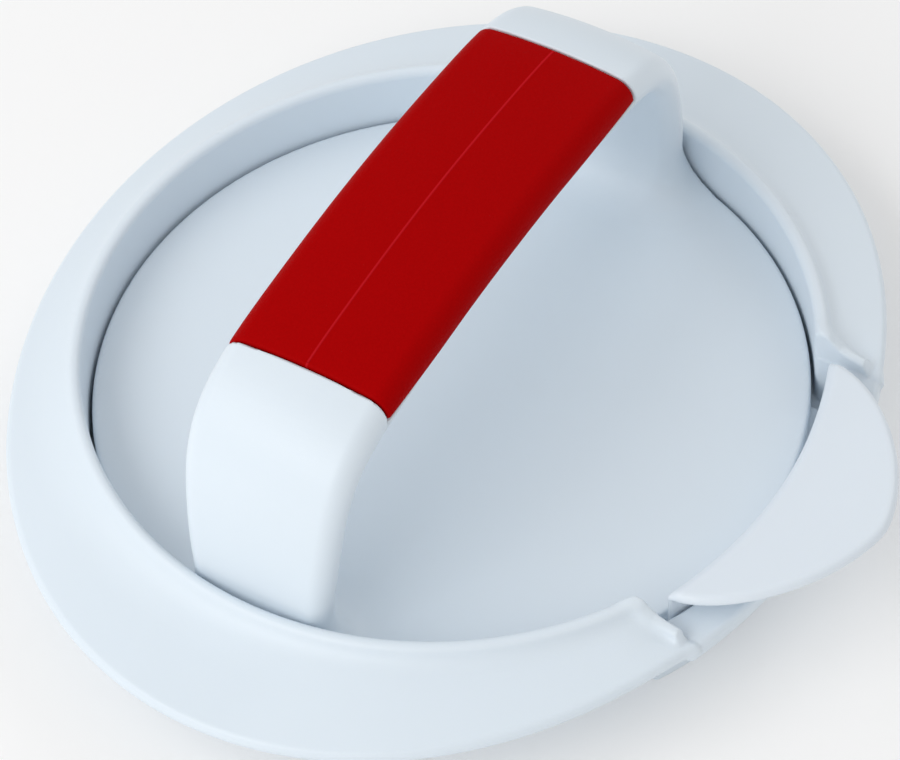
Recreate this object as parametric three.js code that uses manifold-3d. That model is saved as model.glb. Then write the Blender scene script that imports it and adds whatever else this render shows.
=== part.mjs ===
// Hamburger patty press: a moulded ring with a wide oval flange, a rocking ejector plate that lies
// in the ring and carries a thumb tab, and a round press with a wide arched handle and a soft grip.
// Millimetres, +Z up. The origin is the centre of the underside, on the axis of the round mould.
// +X points to the thumb tab and +Y runs along the handle.

import * as THREE from 'three';
import { mergeVertices } from 'three/addons/utils/BufferGeometryUtils.js';
import Module from 'manifold-3d';

const wasm = await Module();
wasm.setup();

// ---------------------------------------------------------------- driving dimensions

// fits
const MESH_GAP = 0.3; // between pieces that touch
const PRESS_CLEARANCE = 0.5; // round the press plate, so that it slides
const EJECTOR_CLEARANCE = 1.2; // round the ejector plate, so that it tips
const SLOT_CLEARANCE = 0.5; // outside the ejector's web
const TAB_END_CLEARANCE = 2.8; // between each end of the web and the end of its slot

// mould ring
const MOULD_RADIUS = 54.5; // inside the wall
const MOULD_HEIGHT = 17;
const WALL = 2.2;
const FLOOR = 1.6;
const FLANGE_REACH_ENDS = 16.2; // past the wall, along Y
const FLANGE_REACH_SIDES = 6; // past the wall, along X
const FLANGE_THICKNESS = 2;
const FLANGE_DROP = 2.2; // from the rim's crest to the flange at the wall
const FLANGE_SLOPE = 0.245;
const NOTCH_HALF_WIDTH = 27.2;
const NOTCH_DEPTH = 5.3; // from the rim's crest to the floor of the notch
const NOTCH_FLOOR_THICKNESS = 3.2;
const POCKET_WALL = 1.3; // outside the slot of the ejector's web
const EAR_THICKNESS = 2;
const EAR_DROP = 2.4; // from the rim's crest to the top of each ear
const EAR_LENGTH = 4; // flat part of each ear's top, outwards from the wall

// ejector plate
const EJECTOR_THICKNESS = 1.6;
const WEB_INSET = 1.4; // from the mould's inner face to the web's inner face
const WEB_THICKNESS = 1.4;
const TAB_THICKNESS = 1.7;
const TAB_TIP_REACH = 10.6; // past the flange
const TAB_ROOT_DROP = 0.7; // from the rim's crest to the tab's top at its root
const TAB_ROOT_CHAMFER = 1.2; // of the tab's inner top edge
const TAB_SLOPE = 0.085;
const TAB_END_REACH = 0.5; // of the tab's outer edge past the web, at each end
const TAB_FULLNESS = 1.6; // of the tab's outline: 1 is a triangle and 2 is half an ellipse

// press
const PRESS_DEPTH = 3.7; // from the pressing face to the top of the plate
const PLATE_THICKNESS = 1.7;
const SKIRT = 1.8;
const FACE_THICKNESS = 1.6;
const FACE_GROOVE_DEPTH = 0.5;
const FACE_GROOVE_WIDTH = 1.5;
const FACE_GROOVE_PITCH = 12;

// handle
const HANDLE_HEIGHT = 42.5; // above the plate, at mid-length
const HANDLE_CROWN = 2.5; // rise of the bar's top from the grip's ends to mid-length
const BAR_CROWN_ACROSS = 1.4; // rise of the bar's top from its sides to its middle
const BAR_THICKNESS = 7.2;
const LEG_THICKNESS = 6.6;
const HANDLE_HALF_WIDTH = 13.4;
const LEG_FOOT_NARROWING = 2.9; // of each side, from the bar down to the plate
const LEG_FOOT_INSET = 0.4; // of each leg's outer face from the plate's edge
const LEG_FOOT_FILLET = 7;
const HANDLE_EDGE_ROUND = 2.6;
const HANDLE_WALL = 1.6;

// soft grip
const GRIP_HALF_LENGTH = 34.4;
const GRIP_THICKNESS = 2;
const GRIP_SIDE_HEIGHT = 4.5; // of the grip's sides at its ends

const ROUND_SEGMENTS = 96;
const ARCH_STEPS = 40; // along each face of the handle
const CROWN_STEPS = 6; // across the handle
const FOOT_DEPTH = 10; // of the handle's feet before they are trimmed to the plate
const LARGE = 200; // longer than anything here

// ---------------------------------------------------------------- sizes that follow

const flangeRootZ = MOULD_HEIGHT - FLANGE_DROP;
const wallOuterRadius = MOULD_RADIUS + WALL;
const flangeHalfLength = wallOuterRadius + FLANGE_REACH_ENDS;
const flangeHalfWidth = wallOuterRadius + FLANGE_REACH_SIDES;
const notchFloorZ = MOULD_HEIGHT - NOTCH_DEPTH;
const webInnerRadius = MOULD_RADIUS + WEB_INSET;
const webOuterRadius = webInnerRadius + WEB_THICKNESS;
const slotOuterRadius = webOuterRadius + SLOT_CLEARANCE;
const pocketOuterRadius = slotOuterRadius + POCKET_WALL;
const webHalfWidth = NOTCH_HALF_WIDTH - TAB_END_CLEARANCE;
const tabTipX = flangeHalfWidth + TAB_TIP_REACH;
const tabRootZ = MOULD_HEIGHT - TAB_ROOT_DROP;

const ejectorRadius = MOULD_RADIUS - EJECTOR_CLEARANCE;
const ejectorBottomZ = FLOOR + MESH_GAP;
const ejectorTopZ = ejectorBottomZ + EJECTOR_THICKNESS;

const plateRadius = MOULD_RADIUS - PRESS_CLEARANCE;
const pressBottomZ = ejectorTopZ + MESH_GAP;
const plateTopZ = pressBottomZ + PRESS_DEPTH;
const plateBottomZ = plateTopZ - PLATE_THICKNESS;
const faceRadius = plateRadius - SKIRT - MESH_GAP;

const handleTopZ = plateTopZ + HANDLE_HEIGHT;
const gripEndZ = handleTopZ - HANDLE_CROWN;
const gripBottomZ = gripEndZ - GRIP_SIDE_HEIGHT;
const legFootY = plateRadius - LEG_FOOT_INSET;

// ---------------------------------------------------------------- solids

function solidFrom(geometry) {
  const bare = geometry.index ? geometry.toNonIndexed() : geometry.clone();
  bare.deleteAttribute('normal');
  bare.deleteAttribute('uv');
  const merged = mergeVertices(bare, 1e-4);
  return new wasm.Manifold(new wasm.Mesh({
    numProp: 3,
    vertProperties: merged.attributes.position.array,
    triVerts: new Uint32Array(merged.index.array),
  }));
}

function geometryFrom(solid) {
  const mesh = solid.getMesh();
  const geometry = new THREE.BufferGeometry();
  geometry.setAttribute('position', new THREE.BufferAttribute(mesh.vertProperties, 3));
  geometry.setIndex(new THREE.BufferAttribute(mesh.triVerts, 1));
  geometry.computeVertexNormals();
  return geometry;
}

// Solid of revolution about Z. The profile is a list of [radius, z] points.
function turned(profile) {
  const points = profile.map(([radius, z]) => new THREE.Vector2(radius, z));
  const geometry = new THREE.LatheGeometry([...points, points[0]], ROUND_SEGMENTS);
  return solidFrom(geometry.rotateX(Math.PI / 2));
}

// Round pillar on the mould's axis.
function pillar(radius) {
  return turned([[0, -LARGE], [radius, -LARGE], [radius, LARGE], [0, LARGE]]);
}

function block([x0, x1], [y0, y1], [z0, z1]) {
  const geometry = new THREE.BoxGeometry(x1 - x0, y1 - y0, z1 - z0);
  return solidFrom(geometry.translate((x0 + x1) / 2, (y0 + y1) / 2, (z0 + z1) / 2));
}

// Upright prism: the outline lies in the XY plane.
function upright(shape, z0, z1) {
  const geometry = new THREE.ExtrudeGeometry(shape, { depth: z1 - z0, bevelEnabled: false, curveSegments: 24 });
  return solidFrom(geometry.translate(0, 0, z0));
}

// Prism along X from -halfWidth to +halfWidth: the outline's first axis is Y and its second is Z.
// Its long edges are rounded, narrow(z) scales its width at each height, and drop(x, z) lowers it.
function acrossX(shape, halfWidth, edgeRound, narrow, drop) {
  const geometry = new THREE.ExtrudeGeometry(shape, {
    depth: 2 * (halfWidth - edgeRound),
    steps: CROWN_STEPS,
    bevelEnabled: edgeRound > 0,
    bevelThickness: edgeRound,
    bevelSize: edgeRound,
    bevelOffset: -edgeRound,
    bevelSegments: 4,
    curveSegments: 10,
  });
  geometry.translate(0, 0, edgeRound - halfWidth);
  geometry.rotateX(Math.PI / 2);
  geometry.rotateZ(Math.PI / 2);
  const position = geometry.attributes.position;
  for (let i = 0; i < position.count; i += 1) {
    const x = position.getX(i);
    const z = position.getZ(i);
    position.setX(i, x * narrow(z));
    position.setZ(i, z - drop(x, z));
  }
  return solidFrom(geometry);
}

function arcPoints(centreR, centreZ, radius, fromDegrees, toDegrees, steps) {
  const points = [];
  for (let i = 0; i <= steps; i += 1) {
    const angle = THREE.MathUtils.degToRad(fromDegrees + ((toDegrees - fromDegrees) * i) / steps);
    points.push([centreR + radius * Math.cos(angle), centreZ + radius * Math.sin(angle)]);
  }
  return points;
}

function finish(name, solid, material) {
  const mesh = new THREE.Mesh(geometryFrom(solid), material);
  mesh.name = name;
  return mesh;
}

// ---------------------------------------------------------------- mould ring

function flangeTopZ(radius) {
  return flangeRootZ - FLANGE_SLOPE * (radius - wallOuterRadius);
}

function flangeOutline() {
  return new THREE.Shape().absellipse(0, 0, flangeHalfWidth, flangeHalfLength, 0, 2 * Math.PI, false);
}

function mouldRing() {
  const lipRadius = WALL / 2;
  const lipZ = MOULD_HEIGHT - lipRadius;
  const cup = turned([
    [0, 0],
    [wallOuterRadius, 0],
    ...arcPoints(MOULD_RADIUS + lipRadius, lipZ, lipRadius, 0, 180, 8),
    [MOULD_RADIUS, FLOOR],
    [0, FLOOR],
  ]);

  const flangeInnerRadius = wallOuterRadius - WALL / 2;
  const flangeOuterRadius = flangeHalfLength + 5;
  const flange = turned([
    [flangeInnerRadius, flangeTopZ(flangeInnerRadius)],
    [flangeInnerRadius, flangeTopZ(flangeInnerRadius) - FLANGE_THICKNESS],
    [flangeOuterRadius, flangeTopZ(flangeOuterRadius) - FLANGE_THICKNESS],
    [flangeOuterRadius, flangeTopZ(flangeOuterRadius)],
  ]);

  // Behind the notch: a floor plate and the outer wall of the web's pocket.
  const pocketHalfWidth = NOTCH_HALF_WIDTH + POCKET_WALL;
  const pocket = turned([
    [MOULD_RADIUS, 0],
    [pocketOuterRadius, 0],
    [pocketOuterRadius, notchFloorZ - NOTCH_FLOOR_THICKNESS],
    [flangeOuterRadius, notchFloorZ - NOTCH_FLOOR_THICKNESS],
    [flangeOuterRadius, notchFloorZ],
    [MOULD_RADIUS, notchFloorZ],
  ]).intersect(block([0, LARGE], [-pocketHalfWidth, pocketHalfWidth], [-1, LARGE]));

  const trim = upright(flangeOutline(), -1, LARGE);
  let ring = cup.add(flange.intersect(trim)).add(pocket.intersect(trim));

  const notchSides = [-NOTCH_HALF_WIDTH, NOTCH_HALF_WIDTH];
  const mouldCore = turned([[0, FLOOR], [MOULD_RADIUS, FLOOR], [MOULD_RADIUS, LARGE], [0, LARGE]]);
  const aboveFloor = block([0, LARGE], notchSides, [notchFloorZ, LARGE]);
  const slot = turned([[0, FLOOR], [slotOuterRadius, FLOOR], [slotOuterRadius, LARGE], [0, LARGE]])
    .intersect(block([0, LARGE], notchSides, [FLOOR, LARGE]));
  ring = ring.subtract(aboveFloor).subtract(slot);

  for (const side of [-1, 1]) {
    ring = ring.add(ear(side).intersect(trim).subtract(mouldCore));
  }
  return ring;
}

// A rib beside the notch, from the rim out to the flange's edge.
function ear(side) {
  const nearY = side * NOTCH_HALF_WIDTH;
  const farY = side * (NOTCH_HALF_WIDTH + EAR_THICKNESS);
  const wallX = Math.sqrt(MOULD_RADIUS ** 2 - NOTCH_HALF_WIDTH ** 2);
  const bottomZ = notchFloorZ - FLANGE_THICKNESS / 2;
  const flatEndX = wallX + EAR_LENGTH;
  const edgeX = flangeHalfWidth * Math.sqrt(1 - (NOTCH_HALF_WIDTH / flangeHalfLength) ** 2);
  const topZ = MOULD_HEIGHT - EAR_DROP;
  const outline = new THREE.Shape([
    new THREE.Vector2(wallX - WALL, bottomZ),
    new THREE.Vector2(edgeX, bottomZ),
    new THREE.Vector2(edgeX, notchFloorZ),
    new THREE.Vector2(flatEndX, topZ),
    new THREE.Vector2(wallX, MOULD_HEIGHT - WALL / 3),
    new THREE.Vector2(wallX - WALL, MOULD_HEIGHT - WALL / 3),
  ]);
  const geometry = new THREE.ExtrudeGeometry(outline, { depth: EAR_THICKNESS, bevelEnabled: false });
  geometry.rotateX(Math.PI / 2);
  return solidFrom(geometry.translate(0, Math.max(nearY, farY), 0));
}

// ---------------------------------------------------------------- ejector plate

// A leaf: pointed where it leaves the ends of the web, and round at its tip.
function tabOutline() {
  const steps = 32;
  const rootX = Math.sqrt(webInnerRadius ** 2 - webHalfWidth ** 2);
  const endX = Math.sqrt(webOuterRadius ** 2 - webHalfWidth ** 2) + TAB_END_REACH;
  const power = 2 / TAB_FULLNESS;
  const points = [];
  for (let i = 0; i <= steps; i += 1) {
    const angle = Math.PI * (0.5 - i / steps);
    const sine = Math.sin(angle);
    const cosine = Math.max(0, Math.cos(angle));
    const y = webHalfWidth * Math.sign(sine) * Math.abs(sine) ** power;
    points.push(new THREE.Vector2(endX + (tabTipX - endX) * cosine ** power, y));
  }
  points.push(new THREE.Vector2(rootX - 2, -webHalfWidth));
  points.push(new THREE.Vector2(rootX - 2, webHalfWidth));
  return new THREE.Shape(points);
}

function ejectorPlate() {
  const disc = turned([
    [0, ejectorBottomZ],
    [ejectorRadius, ejectorBottomZ],
    [ejectorRadius, ejectorTopZ],
    [0, ejectorTopZ],
  ]);
  const webSides = block([0, LARGE], [-webHalfWidth, webHalfWidth], [0, LARGE]);
  const tongue = turned([
    [ejectorRadius - WALL, ejectorBottomZ],
    [webOuterRadius, ejectorBottomZ],
    [webOuterRadius, ejectorTopZ],
    [ejectorRadius - WALL, ejectorTopZ],
  ]).intersect(webSides);
  const web = turned([
    [webInnerRadius, ejectorBottomZ],
    [webOuterRadius, ejectorBottomZ],
    [webOuterRadius, tabRootZ - TAB_THICKNESS / 2],
    [webInnerRadius, tabRootZ - TAB_ROOT_CHAMFER],
  ]).intersect(webSides);

  const tabTopZ = (radius) => tabRootZ + TAB_SLOPE * (radius - webInnerRadius);
  const tab = turned([
    [webInnerRadius, tabTopZ(webInnerRadius) - TAB_THICKNESS],
    [tabTipX, tabTopZ(tabTipX) - TAB_THICKNESS],
    [tabTipX, tabTopZ(tabTipX)],
    [webInnerRadius + TAB_ROOT_CHAMFER, tabTopZ(webInnerRadius + TAB_ROOT_CHAMFER)],
    [webInnerRadius, tabTopZ(webInnerRadius) - TAB_ROOT_CHAMFER],
  ]).intersect(upright(tabOutline(), 0, LARGE));
  return disc.add(tongue).add(web).add(tab);
}

// ---------------------------------------------------------------- handle outlines

// The arch's outer face from its +Y foot over to its -Y foot, as [y, z] points.
function archOuterPoints() {
  const legTopZ = gripEndZ - 4;
  const legRise = legTopZ - plateTopZ;
  const half = [
    [legFootY, plateTopZ],
    [legFootY - 0.3, plateTopZ + legRise * 0.2],
    [legFootY - 1.6, plateTopZ + legRise * 0.5],
    [legFootY - 4.4, plateTopZ + legRise * 0.8],
    [legFootY - 9.8, legTopZ],
    [GRIP_HALF_LENGTH, gripEndZ],
    [GRIP_HALF_LENGTH / 2, handleTopZ - HANDLE_CROWN / 4],
  ];
  return mirrored(half, [0, handleTopZ]);
}

// The arch's inner face, which the fingers meet, from its +Y foot over to its -Y foot.
function archInnerPoints() {
  const underZ = handleTopZ - BAR_THICKNESS;
  const legInnerY = legFootY - LEG_THICKNESS;
  const half = [
    [legInnerY - LEG_FOOT_FILLET, plateTopZ],
    [legInnerY - LEG_FOOT_FILLET * 0.4, plateTopZ + LEG_FOOT_FILLET * 0.25],
    [legInnerY - LEG_FOOT_FILLET * 0.1, plateTopZ + LEG_FOOT_FILLET * 0.8],
    [legInnerY - 0.8, plateTopZ + LEG_FOOT_FILLET * 2],
    [legInnerY - 4, underZ - 8.5],
    [GRIP_HALF_LENGTH + 1.7, gripEndZ - BAR_THICKNESS - 0.5],
    [GRIP_HALF_LENGTH / 2, underZ - HANDLE_CROWN / 4],
  ];
  return mirrored(half, [0, underZ]);
}

// Joins a half to its mirror image through a middle point.
function mirrored(half, middle) {
  return [...half, middle, ...half.map(([y, z]) => [-y, z]).reverse()];
}

// Points along a smooth curve through [y, z] points, moved inwards, to the left of its direction.
function offsetCurve(points, inset, steps) {
  const curve = new THREE.SplineCurve(points.map(([y, z]) => new THREE.Vector2(y, z)));
  const moved = [];
  for (let i = 0; i <= steps; i += 1) {
    const point = curve.getPoint(i / steps);
    const tangent = curve.getTangent(i / steps);
    moved.push(new THREE.Vector2(point.x - tangent.y * inset, point.y + tangent.x * inset));
  }
  return moved;
}

// Outline of the arch between an outer face moved inwards and an inner face moved outwards. Its
// feet run on below the plate's top.
function archBand(outerInset, innerInset) {
  const outer = offsetCurve(archOuterPoints(), outerInset, ARCH_STEPS);
  const inner = offsetCurve(archInnerPoints(), -innerInset, ARCH_STEPS).reverse();
  const footZ = plateTopZ - FOOT_DEPTH;
  const foot = (point) => new THREE.Vector2(point.x, footZ);
  return new THREE.Shape([
    foot(outer[0]),
    ...outer,
    foot(outer[ARCH_STEPS]),
    foot(inner[0]),
    ...inner,
    foot(inner[ARCH_STEPS]),
  ]);
}

// Share of the handle's full width at a height: 1 along the bar, less towards the feet.
function handleNarrowing(z) {
  const share = THREE.MathUtils.clamp((z - plateTopZ) / (gripBottomZ - plateTopZ), 0, 1);
  const narrowing = LEG_FOOT_NARROWING / HANDLE_HALF_WIDTH;
  return 1 - narrowing * (1 - share) ** 1.5;
}

// How far the crown across the bar lowers the handle: most at the bar's sides, and nought below it.
function crownDrop(x, z) {
  const share = THREE.MathUtils.clamp((z - gripBottomZ) / GRIP_SIDE_HEIGHT, 0, 1);
  return BAR_CROWN_ACROSS * share * (x / HANDLE_HALF_WIDTH) ** 2;
}

function handlePrism(shape, halfWidth, edgeRound) {
  return acrossX(shape, halfWidth, edgeRound, handleNarrowing, crownDrop);
}

// ---------------------------------------------------------------- press

function gripZone(endGap, bottomGap) {
  const halfLength = GRIP_HALF_LENGTH - endGap;
  return block([-LARGE, LARGE], [-halfLength, halfLength], [gripBottomZ + bottomGap, LARGE]);
}

function handleArch() {
  return handlePrism(archBand(0, 0), HANDLE_HALF_WIDTH, HANDLE_EDGE_ROUND);
}

// The part of the arch that the soft grip wraps, less a gap.
function gripCore(gap) {
  const inset = GRIP_THICKNESS + gap;
  return handlePrism(archBand(inset, 0), HANDLE_HALF_WIDTH - inset, 1);
}

// The hollow of the handle, open at both feet behind the pressing face.
function handleHollow() {
  const underGrip = GRIP_THICKNESS + MESH_GAP + HANDLE_WALL;
  const belowGrip = block([-LARGE, LARGE], [-LARGE, LARGE], [-LARGE, gripBottomZ - HANDLE_WALL]);
  const bar = handlePrism(archBand(underGrip, HANDLE_WALL), HANDLE_HALF_WIDTH - underGrip, 0);
  const legs = handlePrism(archBand(HANDLE_WALL, HANDLE_WALL), HANDLE_HALF_WIDTH - HANDLE_WALL, 0);
  return bar.add(legs.intersect(belowGrip));
}

function pressShell() {
  const plate = turned([
    [0, plateBottomZ],
    [plateRadius - SKIRT, plateBottomZ],
    [plateRadius - SKIRT, pressBottomZ],
    [plateRadius, pressBottomZ],
    [plateRadius, plateTopZ],
    [0, plateTopZ],
  ]);
  const gripRecess = gripZone(0, 0).subtract(gripCore(MESH_GAP));
  const arch = handleArch()
    .subtract(gripRecess)
    .intersect(block([-LARGE, LARGE], [-LARGE, LARGE], [plateBottomZ, LARGE]))
    .intersect(pillar(plateRadius));
  return plate.add(arch).subtract(handleHollow().intersect(pillar(plateRadius - SKIRT)));
}

function softGrip() {
  return handleArch().intersect(gripZone(MESH_GAP, MESH_GAP)).subtract(gripCore(0));
}

// The pressing face: a disc that closes the shell from below, with rings in its underside.
function pressFace() {
  const topZ = pressBottomZ + FACE_THICKNESS;
  const profile = [[0, pressBottomZ]];
  for (let r = FACE_GROOVE_PITCH; r < faceRadius - FACE_GROOVE_PITCH / 2; r += FACE_GROOVE_PITCH) {
    profile.push(
      [r, pressBottomZ],
      [r + FACE_GROOVE_WIDTH / 3, pressBottomZ + FACE_GROOVE_DEPTH],
      [r + (2 * FACE_GROOVE_WIDTH) / 3, pressBottomZ + FACE_GROOVE_DEPTH],
      [r + FACE_GROOVE_WIDTH, pressBottomZ],
    );
  }
  profile.push([faceRadius, pressBottomZ], [faceRadius, topZ], [0, topZ]);
  return turned(profile);
}

// ---------------------------------------------------------------- assembly

function plastic(name, colour, roughness) {
  return new THREE.MeshStandardMaterial({ name, color: colour, roughness, metalness: 0 });
}

function assembly() {
  const white = '#dbe3e9';
  const mould = new THREE.Group();
  mould.add(finish('mould_ring', mouldRing(), plastic('mould_white', white, 0.42)));

  const ejector = new THREE.Group();
  ejector.add(finish('ejector_plate', ejectorPlate(), plastic('ejector_white', white, 0.4)));

  const press = new THREE.Group();
  press.add(
    finish('press_shell', pressShell(), plastic('press_white', white, 0.42)),
    finish('press_face', pressFace(), plastic('face_white', white, 0.42)),
    finish('soft_grip', softGrip(), plastic('grip_red', '#9e0505', 0.62)),
  );

  const object = new THREE.Group();
  object.add(mould, ejector, press);
  return object;
}

export default assembly();
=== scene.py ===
# Hamburger patty press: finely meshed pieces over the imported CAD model, their materials, the light
# and the camera. Shapes are worked out in millimetres in the row frame: +Z up, +X to the thumb tab
# and +Y along the handle.

import math

import bmesh
import bpy
import numpy as np
from mathutils import Matrix, Vector


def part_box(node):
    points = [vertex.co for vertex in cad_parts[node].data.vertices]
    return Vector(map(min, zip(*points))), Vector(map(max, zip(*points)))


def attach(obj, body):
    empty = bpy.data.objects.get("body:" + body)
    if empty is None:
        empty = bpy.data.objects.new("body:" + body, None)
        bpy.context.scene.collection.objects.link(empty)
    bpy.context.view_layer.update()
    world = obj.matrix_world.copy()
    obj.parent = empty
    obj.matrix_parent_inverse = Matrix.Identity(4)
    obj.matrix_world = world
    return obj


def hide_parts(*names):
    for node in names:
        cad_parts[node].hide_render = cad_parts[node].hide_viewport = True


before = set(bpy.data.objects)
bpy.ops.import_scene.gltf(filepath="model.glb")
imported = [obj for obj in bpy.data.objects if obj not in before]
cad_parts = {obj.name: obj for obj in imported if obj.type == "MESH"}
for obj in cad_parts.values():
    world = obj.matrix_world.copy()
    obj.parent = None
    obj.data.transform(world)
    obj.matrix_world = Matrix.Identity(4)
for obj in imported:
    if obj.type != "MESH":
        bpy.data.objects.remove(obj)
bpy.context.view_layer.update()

MM = 0.001


def box_mm(node):
    low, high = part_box(node)
    return [c / MM for c in low], [c / MM for c in high]


# ---------------------------------------------------------------- sizes of the CAD pieces

ring_low, ring_high = box_mm("mould_ring")
ejector_low, ejector_high = box_mm("ejector_plate")
shell_low, shell_high = box_mm("press_shell")
face_low, face_high = box_mm("press_face")
grip_low, grip_high = box_mm("soft_grip")

# mould ring
WALL = 2.2
FLOOR = 1.6
LIP_ROUND = WALL / 2
FLANGE_THICKNESS = 2.0
FLANGE_DROP = 2.2  # from the rim's crest to the flange at the wall
FLANGE_SLOPE = 0.245
FLANGE_EDGE_ROUND = 0.9
NOTCH_HALF_WIDTH = 27.2
NOTCH_DEPTH = 5.3
NOTCH_FLOOR_THICKNESS = 3.2
NOTCH_ROUND = 0.6
# The flange comes down to the notch's floor over this length beside the notch. It starts 7.2 mm
# inside the flange's edge, is complete 4.5 mm nearer to it, and fades out below 8 mm of height.
DIP_LENGTH = 9.0
DIP_WIDTH = 4.5
DIP_OFFSET = 1.6
DIP_FADE_LOW = 4
DIP_FADE_HEIGHT = 4
SLOT_RADIUS = 57.8
POCKET_WALL = 1.3
POCKET_ROUND = 0.3
POCKET_FILLET = 0.5
EAR_THICKNESS = 1.6
EAR_DROP = 2.2
EAR_LENGTH = 4.0
EAR_ROUND = 0.8
EAR_FILLET = 1.8

# ejector plate
EJECTOR_CLEARANCE = 1.2
EJECTOR_THICKNESS = 1.6
EJECTOR_ROUND = 0.5
WEB_INSET = 1.4
WEB_THICKNESS = 1.4
WEB_HALF_WIDTH = 24.4
WEB_ROUND = 0.3
WEB_FILLET = 0.8
TAB_ROOT_DROP = 0.7
TAB_ROOT_ROUND = 1.6
TAB_EDGE_ROUND = 1.2
TAB_UNDER_ROUND = 0.45
TAB_FILLET = 0.6
TAB_THICKNESS = 1.7
TAB_SLOPE = 0.085
TAB_END_REACH = 0.5
TAB_FULLNESS = 1.6
TAB_ROOT_RADIUS = 64.4  # in plan, of the tab's inner edge, which is flatter than the rim

# press
PLATE_THICKNESS = 1.7
PRESS_DEPTH = 3.7
SKIRT = 1.8
PLATE_EDGE_ROUND = 0.7
GROOVE_PITCH = 12.0
GROOVE_WIDTH = 1.5
GROOVE_DEPTH = 0.5

# handle
HANDLE_CROWN = 2.5
CROWN_ACROSS = 1.1  # rise of the bar's outer face from its sides to its middle, less down the legs
BAR_THICKNESS = 7.2
LEG_THICKNESS = 6.2
LEG_FOOT_INSET = 0.4
LEG_FOOT_NARROWING = 2.9
LEG_FOOT_FILLET = 8.5
LEG_BURIED_ABOVE = 0.4  # the leg ends inside the plate, this far over its underside
LEG_FILLET_FADE = 1.3
HANDLE_EDGE_ROUND = 2.8
GRIP_GAP = 0.3
GRIP_THICKNESS = 2.0
GRIP_EDGE_ROUND = 0.45
RECESS_ROUND = 0.4
PARTING_LINE_WIDTH = 0.4
PARTING_LINE_RISE = 0.1

mould_top = ring_high[2]
flange_half_width = ring_high[0]
flange_half_length = ring_high[1]
mould_radius = ejector_high[1] + EJECTOR_CLEARANCE
wall_outer = mould_radius + WALL
flange_root = mould_top - FLANGE_DROP
notch_floor = mould_top - NOTCH_DEPTH

ejector_radius = ejector_high[1]
ejector_bottom = ejector_low[2]
ejector_top = ejector_bottom + EJECTOR_THICKNESS
web_inner = mould_radius + WEB_INSET
web_outer = web_inner + WEB_THICKNESS
tab_tip = ejector_high[0]
tab_root_top = mould_top - TAB_ROOT_DROP

plate_radius = shell_high[0]
plate_low = shell_low[2]
plate_top = plate_low + PRESS_DEPTH
plate_bottom = plate_top - PLATE_THICKNESS

handle_half_width = grip_high[0]
handle_top = grip_high[2] - PARTING_LINE_RISE
grip_half_length = grip_high[1] + GRIP_GAP
grip_end_top = handle_top - HANDLE_CROWN
grip_bottom = grip_low[2] - GRIP_GAP
leg_foot = plate_radius - LEG_FOOT_INSET


# ---------------------------------------------------------------- signed distances

def slab(value, low, high):
    return np.abs(value - (low + high) / 2) - (high - low) / 2


def both(a, b, rounding):
    """Inside a and b, with the edge that they share rounded."""
    a_out = a + rounding
    b_out = b + rounding
    outside = np.hypot(np.maximum(a_out, 0), np.maximum(b_out, 0))
    return outside + np.minimum(np.maximum(a_out, b_out), 0) - rounding


def joined(a, b, fillet):
    """Inside a or b, with a fillet where they meet."""
    share = np.maximum(fillet - np.abs(a - b), 0) / fillet
    return np.minimum(a, b) - share * share * fillet / 4


def ellipse(x, y, half_x, half_y):
    scale = np.hypot(x / half_x, y / half_y) + 1e-9
    steepness = np.hypot(x / half_x ** 2, y / half_y ** 2) / scale
    return (scale - 1) / np.maximum(steepness, 1e-4)


def leaf(x, y, start_x, tip_x, half_width, fullness):
    """A leaf from start_x to tip_x, straight-sided before start_x."""
    along = np.maximum(x - start_x, 0) / (tip_x - start_x)
    across = np.abs(y) / half_width
    size = np.maximum((along ** fullness + across ** fullness) ** (1 / fullness), 1e-6)
    slope_along = (along / size) ** (fullness - 1) / (tip_x - start_x)
    slope_across = (across / size) ** (fullness - 1) / half_width
    return (size - 1) / np.maximum(np.hypot(slope_along, slope_across), 1e-4)


class Outline:
    """Signed distance to a closed outline in a plane, read from a fine grid round it."""

    def __init__(self, points, low, high, step=0.1):
        self.low = low
        self.high = high
        self.step = step
        u, v = (np.arange(a, b + 2 * step, step) for a, b in zip(low, high))
        self.values = self.measure(points, *np.meshgrid(u, v, indexing="ij"))

    @staticmethod
    def measure(points, u, v):
        distance = np.full(u.shape, 1e9)
        inside = np.zeros(u.shape, bool)
        for (u0, v0), (u1, v1) in zip(points, points[1:] + points[:1]):
            du, dv = u1 - u0, v1 - v0
            length = du * du + dv * dv
            if length < 1e-12:
                continue
            share = np.clip(((u - u0) * du + (v - v0) * dv) / length, 0, 1)
            distance = np.minimum(distance, np.hypot(u - u0 - share * du, v - v0 - share * dv))
            if dv:
                inside ^= ((v0 > v) != (v1 > v)) & (u < u0 + (v - v0) * du / dv)
        return np.where(inside, -distance, distance)

    def __call__(self, u, v):
        a = (np.clip(u, self.low[0], self.high[0]) - self.low[0]) / self.step
        b = (np.clip(v, self.low[1], self.high[1]) - self.low[1]) / self.step
        i, j = a.astype(int), b.astype(int)
        s, t = a - i, b - j
        near = self.values[i, j] * (1 - t) + self.values[i, j + 1] * t
        far = self.values[i + 1, j] * (1 - t) + self.values[i + 1, j + 1] * t
        return near * (1 - s) + far * s


# ---------------------------------------------------------------- curves

def arc(centre, radius, start, end, steps=12):
    """Points on an arc, with its angles in degrees."""
    angles = np.radians(np.linspace(start, end, steps + 1))
    return [(centre[0] + radius * math.cos(a), centre[1] + radius * math.sin(a)) for a in angles]


def swoop(start, control, end, steps=16):
    """Points on a quadratic curve."""
    shares = np.linspace(0, 1, steps + 1)
    return [
        tuple((1 - s) ** 2 * a + 2 * s * (1 - s) * b + s * s * c for a, b, c in zip(start, control, end))
        for s in shares
    ]


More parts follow.
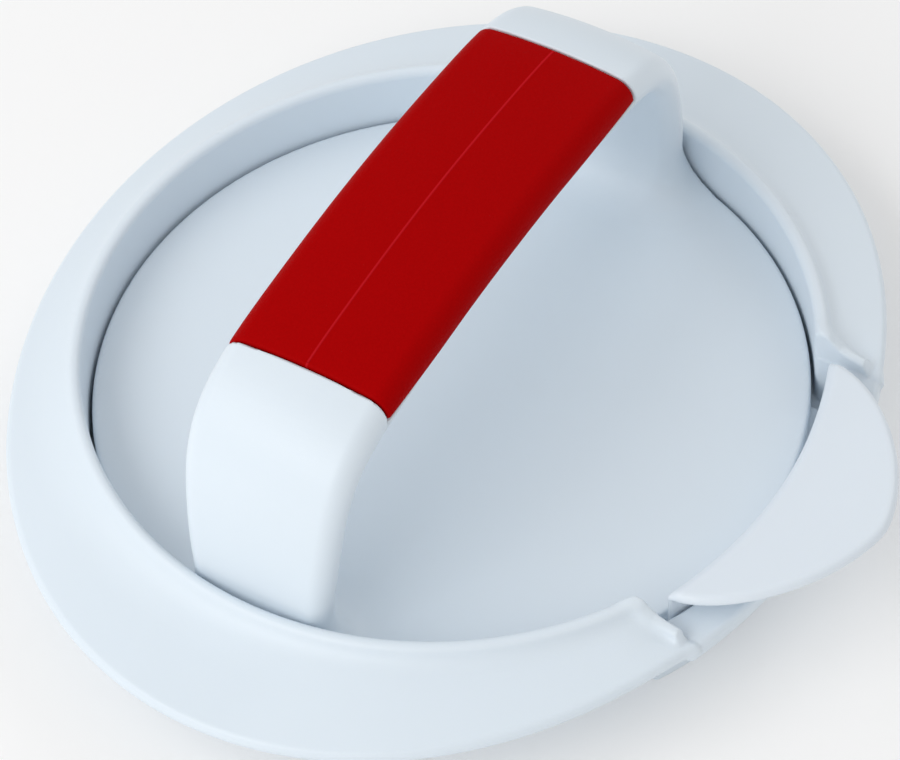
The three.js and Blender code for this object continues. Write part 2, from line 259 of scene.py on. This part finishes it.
def through(points, steps=60):
    """A smooth curve through points."""
    ends = [tuple(2 * a - b for a, b in zip(points[0], points[1]))]
    tail = [tuple(2 * a - b for a, b in zip(points[-1], points[-2]))]
    knots = np.array(ends + list(points) + tail, float)
    curve = []
    for place in np.linspace(0, len(points) - 1, steps + 1):
        i = min(int(place), len(points) - 2)
        s = place - i
        a, b, c, d = knots[i:i + 4]
        squared = a - 2.5 * b + 2 * c - d / 2
        cubed = 1.5 * (b - c) + (d - a) / 2
        value = b + s * (c - a) / 2 + s * s * squared + s ** 3 * cubed
        curve.append((float(value[0]), float(value[1])))
    return curve


# ---------------------------------------------------------------- surfaces

def spaced(*stops):
    """Rising values: stops are value, step, value, step and so on up to the last value."""
    values = [np.array([stops[0]], float)]
    for low, step, high in zip(stops[0::2], stops[1::2], stops[2::2]):
        count = max(1, round((high - low) / step))
        values.append(np.linspace(low, high, count + 1)[1:])
    return np.concatenate(values)


def upright_grid(u, v, w):
    return u, v, w


def round_grid(u, v, w):
    """Grid coordinates are the radius, the angle in degrees and the height."""
    angle = np.radians(v)
    return u * np.cos(angle), u * np.sin(angle), w


CUBE = [(i, j, k) for i in (0, 1) for j in (0, 1) for k in (0, 1)]
CUBE_EDGES = [(a, b) for a in CUBE for b in CUBE if a < b and sum(abs(p - q) for p, q in zip(a, b)) == 1]


def slope(field, points, reach=0.12):
    columns = []
    for axis in range(3):
        step = np.zeros(3)
        step[axis] = reach
        columns.append((field(*(points + step).T) - field(*(points - step).T)) / (2 * reach))
    return np.stack(columns, 1)


def surface(field, axes, grid):
    """Vertices, quads and normals of the closed surface where field is nought."""
    values = field(*grid(*np.meshgrid(*axes, indexing="ij")))
    inside = values < 0
    cells = tuple(n - 1 for n in values.shape)
    filled = sum(inside[i:i + cells[0], j:j + cells[1], k:k + cells[2]].astype(int) for i, j, k in CUBE)
    active = (filled > 0) & (filled < 8)
    number = np.full(cells, -1)
    number[active] = np.arange(active.sum())
    corner = np.argwhere(active)

    total = np.zeros((len(corner), 3))
    crossings = np.zeros((len(corner), 1))
    for start, end in CUBE_EDGES:
        a = values[tuple((corner + start).T)]
        b = values[tuple((corner + end).T)]
        crossed = (a < 0) != (b < 0)
        share = (a[crossed] / (a[crossed] - b[crossed]))[:, None]
        total[crossed] += corner[crossed] + start + share * (np.array(end) - start)
        crossings[crossed] += 1
    places = (total / crossings).T
    columns = [np.interp(p, np.arange(len(axis)), axis) for p, axis in zip(places, axes)]
    points = np.stack(grid(*columns), 1)
    for _ in range(3):
        steepness = slope(field, points)
        move = field(*points.T) / np.maximum((steepness ** 2).sum(1), 0.05)
        points = points - np.clip(move, -0.5, 0.5)[:, None] * steepness

    quads = []
    for axis in range(3):
        order = (axis, (axis + 1) % 3, (axis + 2) % 3)
        side = np.moveaxis(inside, order, (0, 1, 2))
        cell = np.moveaxis(number, order, (0, 1, 2))
        i, j, k = np.nonzero(side[:-1] != side[1:])
        keep = np.ones(len(i), bool)
        for along, index, last in ((order[1], j, side.shape[1] - 1), (order[2], k, side.shape[2] - 1)):
            wraps = grid is round_grid and along == 1
            keep &= (index < last) if wraps else (index > 0) & (index < last)
        i, j, k = i[keep], j[keep], k[keep]
        ring = [cell[i, j - 1, k - 1], cell[i, j, k - 1], cell[i, j, k], cell[i, j - 1, k]]
        quad = np.stack(ring, 1)
        outwards = side[i, j, k]
        quads.append(np.where(outwards[:, None], quad, quad[:, ::-1]))
    quads = np.concatenate(quads)
    normals = slope(field, points)
    normals /= np.maximum(np.linalg.norm(normals, axis=1, keepdims=True), 1e-9)
    return points, quads, normals


def piece(name, field, axes, grid, node, body, material, extra=None):
    """Makes a piece from its field, in place of a CAD node."""
    points, quads, normals = surface(field, axes, grid)
    if extra:
        more_points, more_quads, more_normals = extra
        quads = np.concatenate([quads, more_quads + len(points)])
        points = np.concatenate([points, more_points])
        normals = np.concatenate([normals, more_normals])
    mesh = bpy.data.meshes.new(name)
    mesh.from_pydata((points * MM).tolist(), [], quads.tolist())
    close_pole(mesh)
    mesh.shade_smooth()
    mesh.normals_split_custom_set_from_vertices(normals.tolist())
    mesh.materials.append(material)
    obj = bpy.data.objects.new(name, mesh)
    bpy.context.scene.collection.objects.link(obj)
    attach(obj, body)
    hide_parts(node)
    return obj


def close_pole(mesh):
    """Fills the small holes that a round grid leaves on its axis."""
    work = bmesh.new()
    work.from_mesh(mesh)
    rim = [edge for edge in work.edges if edge.is_boundary]
    if rim:
        bmesh.ops.holes_fill(work, edges=rim, sides=0)
        work.to_mesh(mesh)
    work.free()


# ---------------------------------------------------------------- mould ring

def mould_section(lip_angle, foot_reach):
    """Half section of the ring, as radius and height. The flange's foot leaves the lip at lip_angle."""
    lip = (mould_radius + LIP_ROUND, mould_top - LIP_ROUND)
    far = flange_half_length + 8
    fall = FLANGE_SLOPE * (far - wall_outer)
    underside = flange_root - FLANGE_THICKNESS
    angle = math.radians(lip_angle)
    start = (lip[0] + LIP_ROUND * math.cos(angle), lip[1] + LIP_ROUND * math.sin(angle))
    above_flange = start[1] - flange_root + FLANGE_SLOPE * (start[0] - wall_outer)
    run = above_flange / (math.cos(angle) - FLANGE_SLOPE * math.sin(angle))
    control = (start[0] + run * math.sin(angle), start[1] - run * math.cos(angle))
    foot = (control[0] + foot_reach, control[1] - FLANGE_SLOPE * foot_reach)
    return (
        [(-5, 0), (wall_outer - 0.8, 0)]
        + arc((wall_outer - 0.8, 0.8), 0.8, -90, 0)
        + arc((wall_outer + 1.2, underside - 1.5), 1.2, 180, 103)
        + [(far, underside - fall), (far, flange_root - fall)]
        + swoop(start, control, foot)[::-1]
        + arc(lip, LIP_ROUND, lip_angle, 180, 24)[1:]
        + arc((mould_radius - 0.8, FLOOR + 0.8), 0.8, 0, -90)
        + [(-5, FLOOR)]
    )


def notch_section():
    """Half section through the notch, where the flange is a flat floor behind the web's slot."""
    far = flange_half_length + 8
    underside = notch_floor - NOTCH_FLOOR_THICKNESS
    pocket_outer = SLOT_RADIUS + POCKET_WALL
    return (
        [(-5, 0), (pocket_outer - 0.8, 0)]
        + arc((pocket_outer - 0.8, 0.8), 0.8, -90, 0)
        + [(pocket_outer, underside), (far, underside), (far, notch_floor)]
        + arc((SLOT_RADIUS + 0.5, notch_floor - 0.5), 0.5, 90, 180)
        + arc((SLOT_RADIUS - 0.5, FLOOR + 0.5), 0.5, 0, -90)
        + [(-5, FLOOR)]
    )


def mould_field():
    low, high = (mould_radius - 5, -1.5), (flange_half_length + 4, mould_top + 1.5)
    crisp = Outline(mould_section(18, 2.2), low, high)
    soft = Outline(mould_section(48, 4.5), low, high)
    notched = Outline(notch_section(), low, high)
    wall_x = math.sqrt(mould_radius ** 2 - NOTCH_HALF_WIDTH ** 2)
    ear_end_x = flange_half_width * math.sqrt(1 - (NOTCH_HALF_WIDTH / flange_half_length) ** 2)
    ear_crest = [
        (wall_x - 1, mould_top - 0.2),
        (wall_x + 2, mould_top - 0.8),
        (wall_x + EAR_LENGTH, mould_top - EAR_DROP),
        (ear_end_x - 3, notch_floor + 2.3),
        (ear_end_x - 1.8, notch_floor - 0.5),
    ]
    ear_places, ear_heights = zip(*ear_crest)

    def field(x, y, z):
        radius = np.hypot(x, y)
        edge = ellipse(x, y, flange_half_width, flange_half_length)
        softness = 0.5 - 0.5 * x / np.maximum(radius, 1e-6)
        softness = softness * softness * (3 - 2 * softness)
        by_notch = np.clip(1 - (np.abs(y) - NOTCH_HALF_WIDTH) / DIP_LENGTH, 0, 1) * (x > 0)
        by_edge = np.clip(DIP_OFFSET + edge / DIP_WIDTH, 0, 1)
        above_notch = flange_root - FLANGE_SLOPE * (radius - wall_outer) - notch_floor
        dip = np.maximum(above_notch, 0) * by_notch ** 2 * by_edge ** 2 * (3 - 2 * by_edge)
        dipped = z + dip * np.clip((z - DIP_FADE_LOW) / DIP_FADE_HEIGHT, 0, 1)
        section = crisp(radius, dipped) * (1 - softness) + soft(radius, z) * softness
        ring = both(section, edge, FLANGE_EDGE_ROUND)
        in_notch = np.maximum(np.abs(y) - NOTCH_HALF_WIDTH, -x)
        pocket = both(notched(radius, z), edge, FLANGE_EDGE_ROUND)
        pocket = both(pocket, in_notch - POCKET_WALL, POCKET_ROUND)

        ear_top = np.interp(x, ear_places, ear_heights)
        ear_sides = slab(np.abs(y), NOTCH_HALF_WIDTH - 3, NOTCH_HALF_WIDTH + EAR_THICKNESS)
        ear = both(both(ear_sides, (z - ear_top) * 0.95, EAR_ROUND), edge, FLANGE_EDGE_ROUND)
        ear = np.maximum(ear, np.maximum(mould_radius + 1.2 - radius, np.maximum(notch_floor - 1 - z, -x)))
        ring = both(joined(ring, ear, EAR_FILLET), -in_notch, NOTCH_ROUND)

        # the wall that closes each end of the web's slot
        slot_end = slab(radius, mould_radius + 0.5, SLOT_RADIUS + 0.5)
        slot_end = np.maximum(slot_end, slab(z, FLOOR / 2, notch_floor - 0.3))
        slot_end = np.maximum(slot_end, NOTCH_HALF_WIDTH - np.abs(y))
        slot_end = both(slot_end, in_notch - POCKET_WALL, POCKET_ROUND)
        return np.maximum(joined(ring, np.minimum(pocket, slot_end), POCKET_FILLET), -z)

    return field


# ---------------------------------------------------------------- ejector plate

def ejector_field():
    leaf_start = math.sqrt(web_outer ** 2 - WEB_HALF_WIDTH ** 2) + TAB_END_REACH
    root_centre = web_inner - TAB_ROOT_RADIUS

    def field(x, y, z):
        radius = np.hypot(x, y)
        behind_root = TAB_ROOT_RADIUS - np.hypot(x - root_centre, y)
        disc = both(radius - ejector_radius, slab(z, ejector_bottom, ejector_top), EJECTOR_ROUND)
        sides = np.maximum(np.abs(y) - WEB_HALF_WIDTH, -x)
        tongue = np.maximum(radius - web_outer, sides)
        tongue = both(tongue, slab(z, ejector_bottom, ejector_top), EJECTOR_ROUND)
        web = both(slab(radius, web_inner, web_outer), behind_root, WEB_ROUND)
        web = both(web, sides, WEB_ROUND)
        web = both(web, slab(z, ejector_bottom, tab_root_top - TAB_ROOT_ROUND / 2), EJECTOR_ROUND)
        plate = joined(np.minimum(disc, tongue), web, WEB_FILLET)
        plate = np.maximum(plate, ejector_bottom - z)

        top = tab_root_top + TAB_SLOPE * (radius - web_inner)
        outline = leaf(x, y, leaf_start, tab_tip, WEB_HALF_WIDTH, TAB_FULLNESS)
        upper = both(z - top, behind_root, TAB_ROOT_ROUND)
        tab = both(upper, outline, TAB_EDGE_ROUND)
        tab = both(tab, top - TAB_THICKNESS - z, TAB_UNDER_ROUND)
        tab = np.maximum(tab, -x)
        return joined(plate, tab, TAB_FILLET)

    return field


# ---------------------------------------------------------------- press

def arch_outer():
    """The outer face of the arch seen from the side, as distance along the handle and height."""
    leg_top = grip_end_top - 4
    rise = leg_top - plate_top
    half = [
        (leg_foot, plate_top),
        (leg_foot - 0.3, plate_top + rise * 0.2),
        (leg_foot - 1.6, plate_top + rise * 0.5),
        (leg_foot - 4.4, plate_top + rise * 0.8),
        (leg_foot - 9.8, leg_top),
        (grip_half_length, grip_end_top),
        (grip_half_length / 2, handle_top - HANDLE_CROWN / 4),
    ]
    return half + [(0, handle_top)] + mirrored(half)


def arch_inner():
    """The inner face of the arch, which the fingers meet."""
    under = handle_top - BAR_THICKNESS
    leg_inner = leg_foot - LEG_THICKNESS
    half = [
        (leg_inner, plate_top),
        (leg_inner, plate_top + 7),
        (leg_inner - 0.6, plate_top + 14),
        (leg_inner - 4, under - 8.5),
        (grip_half_length + 1.7, grip_end_top - BAR_THICKNESS - 0.5),
        (grip_half_length / 2, under - HANDLE_CROWN / 4),
    ]
    return half + [(0, under)] + mirrored(half)


def mirrored(half):
    return [(-y, z) for y, z in half][::-1]


def under_arch(face):
    """Signed distance to the region below a face of the arch, whose feet run on below the plate."""
    curve = through(face, 120)
    feet = plate_top - 10
    points = [(curve[0][0], feet)] + curve + [(curve[-1][0], feet)]
    return Outline(points, (-2, plate_low - 1), (plate_radius + 3, handle_top + 2), 0.12)


below_outer = under_arch(arch_outer())
below_inner = under_arch(arch_inner())


def handle_field(x, y, z):
    share = np.clip((z - plate_top) / (grip_bottom - plate_top), 0, 1)
    half_width = handle_half_width - LEG_FOOT_NARROWING * (1 - share) ** 1.5
    drop = CROWN_ACROSS * share * np.clip(x / half_width, -1.1, 1.1) ** 2
    side = np.maximum(below_outer(np.abs(y), z) + drop, -below_inner(np.abs(y), z))
    return both(side, np.abs(x) - half_width, HANDLE_EDGE_ROUND)


def grip_zone(y, z, gap):
    return np.maximum(np.abs(y) - grip_half_length + gap, grip_bottom + gap - z)


def shell_field(x, y, z):
    radius = np.hypot(x, y)
    plate = both(radius - plate_radius, slab(z, plate_bottom, plate_top), PLATE_EDGE_ROUND)
    skirt = slab(radius, plate_radius - SKIRT, plate_radius)
    skirt = both(skirt, slab(z, plate_low, plate_top), PLATE_EDGE_ROUND)
    handle = handle_field(x, y, z)
    core = handle + GRIP_THICKNESS + GRIP_GAP
    handle = both(handle, np.minimum(-grip_zone(y, z, 0), core), RECESS_ROUND)
    handle = np.maximum(handle, plate_bottom + LEG_BURIED_ABOVE - z)
    fillet = LEG_FOOT_FILLET * np.clip((z - plate_bottom - LEG_BURIED_ABOVE) / LEG_FILLET_FADE, 0.02, 1)
    whole = joined(np.minimum(plate, skirt), handle, fillet)
    return both(whole, radius - plate_radius, 0.3)


def grip_field(x, y, z):
    handle = handle_field(x, y, z)
    skin = both(handle, grip_zone(y, z, GRIP_GAP), GRIP_EDGE_ROUND)
    return np.maximum(skin, -(handle + GRIP_THICKNESS))


def parting_line():
    """A fine raised line along the middle of the grip, as points, quads and normals."""
    stations = np.linspace(-grip_high[1] + GRIP_EDGE_ROUND, grip_high[1] - GRIP_EDGE_ROUND, 200)
    heights = np.full(len(stations), handle_top)
    for _ in range(8):
        heights -= handle_field(np.zeros(len(stations)), stations, heights)
    angles = np.linspace(0, math.pi, 7)
    across = PARTING_LINE_WIDTH / 2 * np.cos(angles)
    up = PARTING_LINE_RISE * np.sin(angles) - 0.02
    columns = np.broadcast_arrays(across[None, :], stations[:, None], heights[:, None] + up[None, :])
    points = np.stack(columns, 2)
    index = np.arange(points.shape[0] * points.shape[1]).reshape(points.shape[:2])
    quads = np.stack([index[:-1, :-1], index[1:, :-1], index[1:, 1:], index[:-1, 1:]], 2).reshape(-1, 4)
    tilt = 0.5 * np.cos(angles)
    upright = np.sqrt(1 - tilt ** 2)
    columns = np.broadcast_arrays(tilt[None, :], np.zeros((len(stations), 1)), upright[None, :])
    normals = np.stack(columns, 2)
    return points.reshape(-1, 3), quads, normals.reshape(-1, 3)


def face_section():
    """Half section of the pressing face, with shallow rings in its underside."""
    low, high, radius = face_low[2], face_high[2], face_high[0]
    points = [(-5, low)]
    groove = GROOVE_PITCH
    while groove < radius - GROOVE_PITCH / 2:
        third = GROOVE_WIDTH / 3
        points += [(groove, low), (groove + third, low + GROOVE_DEPTH)]
        points += [(groove + 2 * third, low + GROOVE_DEPTH), (groove + GROOVE_WIDTH, low)]
        groove += GROOVE_PITCH
    rim = arc((radius - 0.5, low + 0.5), 0.5, -90, 0) + arc((radius - 0.3, high - 0.3), 0.3, 0, 90)
    return points + rim + [(-5, high)]


def face_field():
    section = Outline(face_section(), (-1, face_low[2] - 1), (face_high[0] + 1, face_high[2] + 1))
    return lambda x, y, z: section(np.hypot(x, y), z)


# ---------------------------------------------------------------- materials

RUBBER_RED = (0.42, 0.0004, 0.001)
RUBBER_DARK = (0.32, 0.0002, 0.0005)
RUBBER_LINE = (0.50, 0.008, 0.014)
COOL_WHITE = (0.75, 0.83, 0.90)
EJECTOR_WHITE = (0.77, 0.84, 0.91)
LINE_FULL = 0.00006  # metres from the middle of the grip, within which it has the line's colour
LINE_END = 0.00024


class Nodes:
    """Shorthand for building a material's node tree."""

    def __init__(self, name):
        self.material = bpy.data.materials.new(name)
        self.material.use_nodes = True
        self.tree = self.material.node_tree
        self.shader = self.tree.nodes["Principled BSDF"]

    def add(self, kind, settings=None, **inputs):
        node = self.tree.nodes.new(kind)
        for key, value in (settings or {}).items():
            setattr(node, key, value)
        for key, value in inputs.items():
            self.put(node, key.replace("_", " "), value)
        return node

    def put(self, node, key, value):
        socket = node.inputs[key]
        if isinstance(value, bpy.types.NodeSocket):
            self.tree.links.new(value, socket)
        else:
            socket.default_value = value

    def noise(self, scale, detail, roughness=0.5):
        place = self.add("ShaderNodeTexCoord").outputs["Object"]
        sizes = {"Scale": scale, "Detail": detail, "Roughness": roughness}
        return self.add("ShaderNodeTexNoise", Vector=place, **sizes).outputs[0]

    def between(self, value, low, high):
        return self.add("ShaderNodeMapRange", Value=value, To_Min=low, To_Max=high).outputs[0]

    def mixed(self, value, first, second):
        """A mix of two colours. The first can be a colour or a socket."""
        node = self.tree.nodes.new("ShaderNodeMix")
        node.data_type = "RGBA"
        self.tree.links.new(value, node.inputs[0])
        if isinstance(first, bpy.types.NodeSocket):
            self.tree.links.new(first, node.inputs[6])
        else:
            node.inputs[6].default_value = (*first, 1)
        node.inputs[7].default_value = (*second, 1)
        return node.outputs[2]

    def bump(self, height, strength, distance, under=None):
        node = self.add("ShaderNodeBump", Strength=strength, Distance=distance, Height=height)
        if under:
            self.put(node, "Normal", under)
        return node.outputs[0]


def white_plastic(name, tint, roughness):
    n = Nodes(name)
    cloud = n.noise(28, 3)
    grain = n.noise(5200, 2, 0.6)
    waves = n.noise(120, 2)
    darker = tuple(c * 0.965 for c in tint)
    n.put(n.shader, "Base Color", n.mixed(cloud, darker, tint))
    n.put(n.shader, "Roughness", n.between(grain, roughness - 0.05, roughness + 0.07))
    n.put(n.shader, "Normal", n.bump(grain, 0.10, 0.00005, n.bump(waves, 0.05, 0.0003)))
    n.put(n.shader, "Specular IOR Level", 0.42)
    n.put(n.shader, "Subsurface Weight", 0.06)
    n.put(n.shader, "Subsurface Radius", (0.8, 0.8, 0.9))
    n.put(n.shader, "Subsurface Scale", 0.002)
    return n.material


def red_rubber(name):
    n = Nodes(name)
    speckle = n.noise(2600, 3, 0.7)
    cloud = n.noise(60, 2)
    fine = n.mixed(speckle, RUBBER_DARK, RUBBER_RED)
    place = n.add("ShaderNodeTexCoord").outputs["Object"]
    across = n.add("ShaderNodeSeparateXYZ", Vector=place).outputs[0]
    off_line = n.add("ShaderNodeMath", {"operation": "ABSOLUTE"}, Value=across).outputs[0]
    near_line = n.add("ShaderNodeMapRange", Value=off_line, From_Min=LINE_END, From_Max=LINE_FULL).outputs[0]
    n.put(n.shader, "Base Color", n.mixed(near_line, fine, RUBBER_LINE))
    n.put(n.shader, "Roughness", n.between(cloud, 0.5, 0.62))
    n.put(n.shader, "Normal", n.bump(speckle, 0.35, 0.00012))
    n.put(n.shader, "Specular IOR Level", 0.02)
    return n.material


# ---------------------------------------------------------------- pieces

def make_pieces():
    ring_angles = spaced(-180, 1.4, -36, 0.6, 36, 1.4, 180)
    piece(
        "moulded_ring", mould_field(),
        (spaced(0.02, 10, 50.02, 0.8, mould_radius - 0.8, 0.36, flange_half_length + 1.2), ring_angles,
         spaced(-0.5, 0.36, mould_top + 0.8)),
        round_grid, "mould_ring", "mould", white_plastic("mould_white", COOL_WHITE, 0.4),
    )
    tab_angles = spaced(-180, 3, -30, 0.5, 30, 3, 180)
    piece(
        "ejector_with_tab", ejector_field(),
        (spaced(0.02, 10, 50.02, 0.5, ejector_radius, 0.35, tab_tip + 0.9), tab_angles,
         spaced(ejector_bottom - 0.6, 0.35, ejector_high[2] + 0.9)),
        round_grid, "ejector_plate", "ejector", white_plastic("ejector_white", EJECTOR_WHITE, 0.38),
    )
    reach = plate_radius + 0.9
    piece(
        "press_plate_and_handle", shell_field,
        (spaced(-reach, 0.75, -15, 0.5, 15, 0.75, reach), spaced(-reach, 0.55, -33, 0.85, 33, 0.55, reach),
         spaced(plate_low - 0.6, 0.42, plate_top + 1.5, 0.58, shell_high[2] + 1)),
        upright_grid, "press_shell", "press", white_plastic("press_white", COOL_WHITE, 0.4),
    )
    piece(
        "pressing_face", face_field(),
        (spaced(0.02, 0.4, face_high[0] + 0.9), spaced(-180, 2.5, 180),
         spaced(face_low[2] - 0.6, 0.3, face_high[2] + 0.6)),
        round_grid, "press_face", "press", white_plastic("face_white", COOL_WHITE, 0.4),
    )
    side = handle_half_width + 0.7
    length = grip_half_length + 0.5
    piece(
        "red_soft_grip", grip_field,
        (spaced(-side, 0.32, side), spaced(-length, 0.45, length),
         spaced(grip_low[2] - 0.6, 0.3, handle_top + 0.6)),
        upright_grid, "soft_grip", "press", red_rubber("grip_red"), parting_line(),
    )


# ---------------------------------------------------------------- studio

def aim(obj, target):
    obj.rotation_euler = (Vector(target) - obj.location).to_track_quat("-Z", "Y").to_euler()


def lamp(name, place, size, power):
    light = bpy.data.lights.new(name, "AREA")
    light.shape = "DISK"
    light.size = size
    light.energy = power
    obj = bpy.data.objects.new(name, light)
    bpy.context.scene.collection.objects.link(obj)
    obj.location = place
    aim(obj, (0, 0, 0.02))


def make_studio():
    world = bpy.data.worlds.new("studio")
    bpy.context.scene.world = world
    world.use_nodes = True
    background = world.node_tree.nodes["Background"]
    background.inputs["Color"].default_value = (1, 1, 1, 1)
    background.inputs["Strength"].default_value = 0.6
    bpy.context.scene.view_settings.view_transform = "Standard"

    lamp("key", (-0.5, -0.5, 0.7), 0.7, 2.0)
    lamp("front", (-0.1, -0.8, 0.6), 0.6, 2.4)
    lamp("left", (-0.8, -0.1, 0.6), 0.6, 0.5)
    lamp("back", (0.1, 0.8, 0.6), 0.6, 1.2)

    mesh = bpy.data.meshes.new("floor")
    half = 3.0
    corners = [(-half, -half, 0), (half, -half, 0), (half, half, 0), (-half, half, 0)]
    mesh.from_pydata(corners, [], [(0, 1, 2, 3)])
    floor = bpy.data.objects.new("floor", mesh)
    bpy.context.scene.collection.objects.link(floor)
    n = Nodes("pale_floor")
    n.put(n.shader, "Base Color", n.mixed(n.noise(3, 2), (0.76, 0.76, 0.76), (0.79, 0.79, 0.79)))
    n.put(n.shader, "Roughness", 0.9)
    n.put(n.shader, "Emission Color", (1, 1, 1, 1))
    n.put(n.shader, "Emission Strength", 0.18)
    mesh.materials.append(n.material)


CAMERA_AZIMUTH = 35.3
CAMERA_ELEVATION = 50.6
CAMERA_ROLL = 5.2
CAMERA_DISTANCE = 0.650
CAMERA_LENS = 173.55
SENSOR_WIDTH = 36


def make_camera():
    azimuth, elevation, roll = map(math.radians, (CAMERA_AZIMUTH, CAMERA_ELEVATION, CAMERA_ROLL))
    level_reach = math.cos(elevation)
    look = Vector((-math.sin(azimuth) * level_reach, math.cos(azimuth) * level_reach, -math.sin(elevation)))
    level = Vector((math.cos(azimuth), math.sin(azimuth), 0))
    upward = level.cross(look)
    right = level * math.cos(roll) - upward * math.sin(roll)
    up = level * math.sin(roll) + upward * math.cos(roll)
    eye = Vector((0, 0, plate_top * MM)) - look * CAMERA_DISTANCE
    camera = bpy.data.cameras.new("camera")
    camera.lens = CAMERA_LENS
    camera.sensor_width = SENSOR_WIDTH
    obj = bpy.data.objects.new("camera", camera)
    bpy.context.scene.collection.objects.link(obj)
    rows = [(right[i], up[i], -look[i], eye[i]) for i in range(3)]
    obj.matrix_world = Matrix(rows + [(0, 0, 0, 1)])
    bpy.context.scene.camera = obj


make_pieces()
make_studio()
make_camera()
